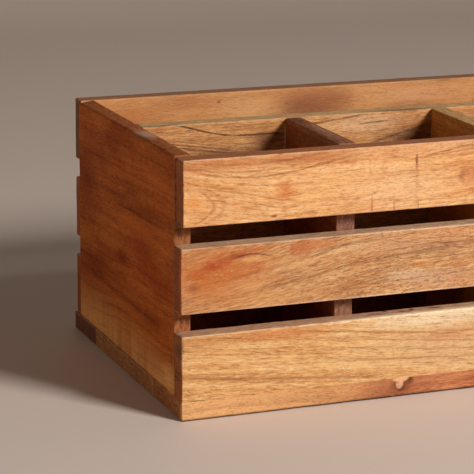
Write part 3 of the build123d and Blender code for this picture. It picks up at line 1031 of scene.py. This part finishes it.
def makeBeadTree():
    tree, given, result = newGroup(
        "glueBead", "GeometryNodeTree",
        {"Geometry": ["Geometry"], "Vector": ["Start", "End"], "Float": ["Radius", "Seed"],
         "Material": ["Glue"]},
        {"Geometry": ["Geometry"]})
    line = wire(tree, "GeometryNodeCurvePrimitiveLine", {"Start": given["Start"], "End": given["End"]})
    line = wire(tree, "GeometryNodeResampleCurve", {"Curve": line, "Count": 60})
    at = wire(tree, "GeometryNodeInputPosition")
    lumpCells = 160.0       # per metre
    lumps = ramp(noise(at * lumpCells, given["Seed"]), 0.3, 0.7, 0.55, 1.25)
    line = wire(tree, "GeometryNodeSetCurveRadius", {"Curve": line, "Radius": lumps})
    ring = wire(tree, "GeometryNodeCurvePrimitiveCircle", {"Resolution": 10, "Radius": given["Radius"]})
    tube = wire(tree, "GeometryNodeCurveToMesh", {"Curve": line, "Profile Curve": ring, "Fill Caps": True})
    endTree(result, wire(tree, "GeometryNodeSetShadeSmooth", {"Geometry": tube}), given["Glue"])
    return tree


def makeBead():
    low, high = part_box("left_divider")
    lean = boards["left_divider"]["tilt"] * (high.z - low.z) / 2
    face = low.x + boards["left_divider"]["taper"] - glue["offSide"]
    corner = high.y - glue["offBack"]
    bead = runTree("left_divider_glue", makeBeadTree(), {
        "Start": (face + glue["startLean"] * lean, corner, high.z - glue["start"]),
        "End": (face + lean, corner, high.z - glue["end"]),
        "Radius": glue["radius"],
        "Seed": glue["seed"],
        "Glue": fillerMaterial("dried_glue", [glue["tint"]]),
    })
    dress(bead, None)


makeBead()
print("glue bead made")


# Brads stay as the CAD made them, in drawn steel

steelFinish = {"dark": (140, 136, 130), "pale": (196, 194, 188), "scale": 3000.0, "seed": 2.0}


def steelMaterial():
    material, tree, surface = newMaterial("brad_steel")
    where = wire(tree, "ShaderNodeTexCoord", output="Object")
    drawn = noise(where * steelFinish["scale"], steelFinish["seed"], 3.0, 0.6)
    colour = blend(drawn, shade(*steelFinish["dark"]), shade(*steelFinish["pale"]))
    setSurface(surface, colour, ramp(drawn, 0.3, 0.7, 0.5, 0.3), drawn, 0.2, 0.02 * mm)
    surface["Metallic"].default_value = 1.0
    return material


steel = steelMaterial()
for name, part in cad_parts.items():
    if name.endswith("_brads"):
        part.data.materials.clear()
        part.data.materials.append(steel)
print("brads dressed")


# Stage: pale sweep, soft key from the front right, weak warm lamp at the left, warm fill, and the camera

stage = {
    "floorColour": (222, 204, 190), "floorRough": 0.65, "patchScale": 6.0, "patchShade": 0.97,
    "front": -4.0, "halfWidth": 4.5,
    "sweepStart": 1.3, "sweepRadius": 0.8, "sweepTop": 3.4, "sweepSteps": 12,
    "keyToward": (0.437, -0.766, 0.472), "keyDistance": 2.4, "keySize": 0.55, "keyPower": 61.0,
    "keyColour": (1.0, 1.0, 1.0),
    "sideToward": (-0.95, -0.25, 0.18), "sideDistance": 2.5, "sideSize": 1.2, "sidePower": 8.0,
    "sideColour": (1.0, 0.88, 0.77),
    "fillColour": (1.0, 0.88, 0.77, 1.0), "fillStrength": 0.05,
}


def floorMaterial():
    material, tree, surface = newMaterial("studio_floor")
    patch = noise(wire(tree, "ShaderNodeTexCoord", output="Object") * stage["patchScale"], 1.0, 3.0)
    base = shade(*stage["floorColour"])
    feed(surface["Base Color"], blend(patch, dimmed(base, stage["patchShade"]), base))
    surface["Roughness"].default_value = stage["floorRough"]
    return material


def makeFloor():
    start = stage["sweepStart"]
    radius = stage["sweepRadius"]
    steps = stage["sweepSteps"]
    points = [(stage["front"], 0.0), (start, 0.0)]
    for i in range(1, steps + 1):
        angle = math.radians(90 * i / steps)
        points.append((start + radius * math.sin(angle), radius * (1 - math.cos(angle))))
    points.append((start + radius, stage["sweepTop"]))
    verts = [(x, y, z) for y, z in points for x in (-stage["halfWidth"], stage["halfWidth"])]
    faces = [(2 * i, 2 * i + 1, 2 * i + 3, 2 * i + 2) for i in range(len(points) - 1)]
    mesh = bpy.data.meshes.new("studio_floor")
    mesh.from_pydata(verts, [], faces)
    mesh.shade_smooth()
    mesh.materials.append(floorMaterial())
    floor = bpy.data.objects.new("studio_floor", mesh)
    scene.collection.objects.link(floor)


def makeLamp(name, target):
    toward = Vector(stage[name + "Toward"]).normalized()
    lamp = bpy.data.lights.new(name, "AREA")
    lamp.shape = "SQUARE"
    lamp.size = stage[name + "Size"]
    lamp.energy = stage[name + "Power"]
    lamp.color = stage[name + "Colour"]
    holder = bpy.data.objects.new(name, lamp)
    holder.location = target + toward * stage[name + "Distance"]
    holder.rotation_euler = toward.to_track_quat("Z", "Y").to_euler()
    scene.collection.objects.link(holder)


def makeLights():
    target = Vector((0.0, 0.0, (cadBox[0].z + cadBox[1].z) / 2))
    makeLamp("key", target)
    makeLamp("side", target)
    world = bpy.data.worlds.new("studio")
    world.use_nodes = True
    sky = world.node_tree.nodes["Background"]
    sky.inputs["Color"].default_value = stage["fillColour"]
    sky.inputs["Strength"].default_value = stage["fillStrength"]
    scene.world = world


view = {
    "place": (-0.5453, -1.1911, 0.3958), "yaw": 0.3728, "pitch": 0.2432, "roll": 0.0071,
    "lens": 163.3, "sensor": 36.0,
}


def makeCamera():
    data = bpy.data.cameras.new("camera")
    data.sensor_width = view["sensor"]
    data.lens = view["lens"]
    camera = bpy.data.objects.new("camera", data)
    turn = Matrix.Rotation(-view["yaw"], 4, "Z") @ Matrix.Rotation(math.pi / 2 - view["pitch"], 4, "X")
    camera.matrix_world = Matrix.Translation(view["place"]) @ turn @ Matrix.Rotation(view["roll"], 4, "Z")
    scene.collection.objects.link(camera)
    scene.camera = camera


makeFloor()
makeLights()
makeCamera()
print("stage, lights and camera set")
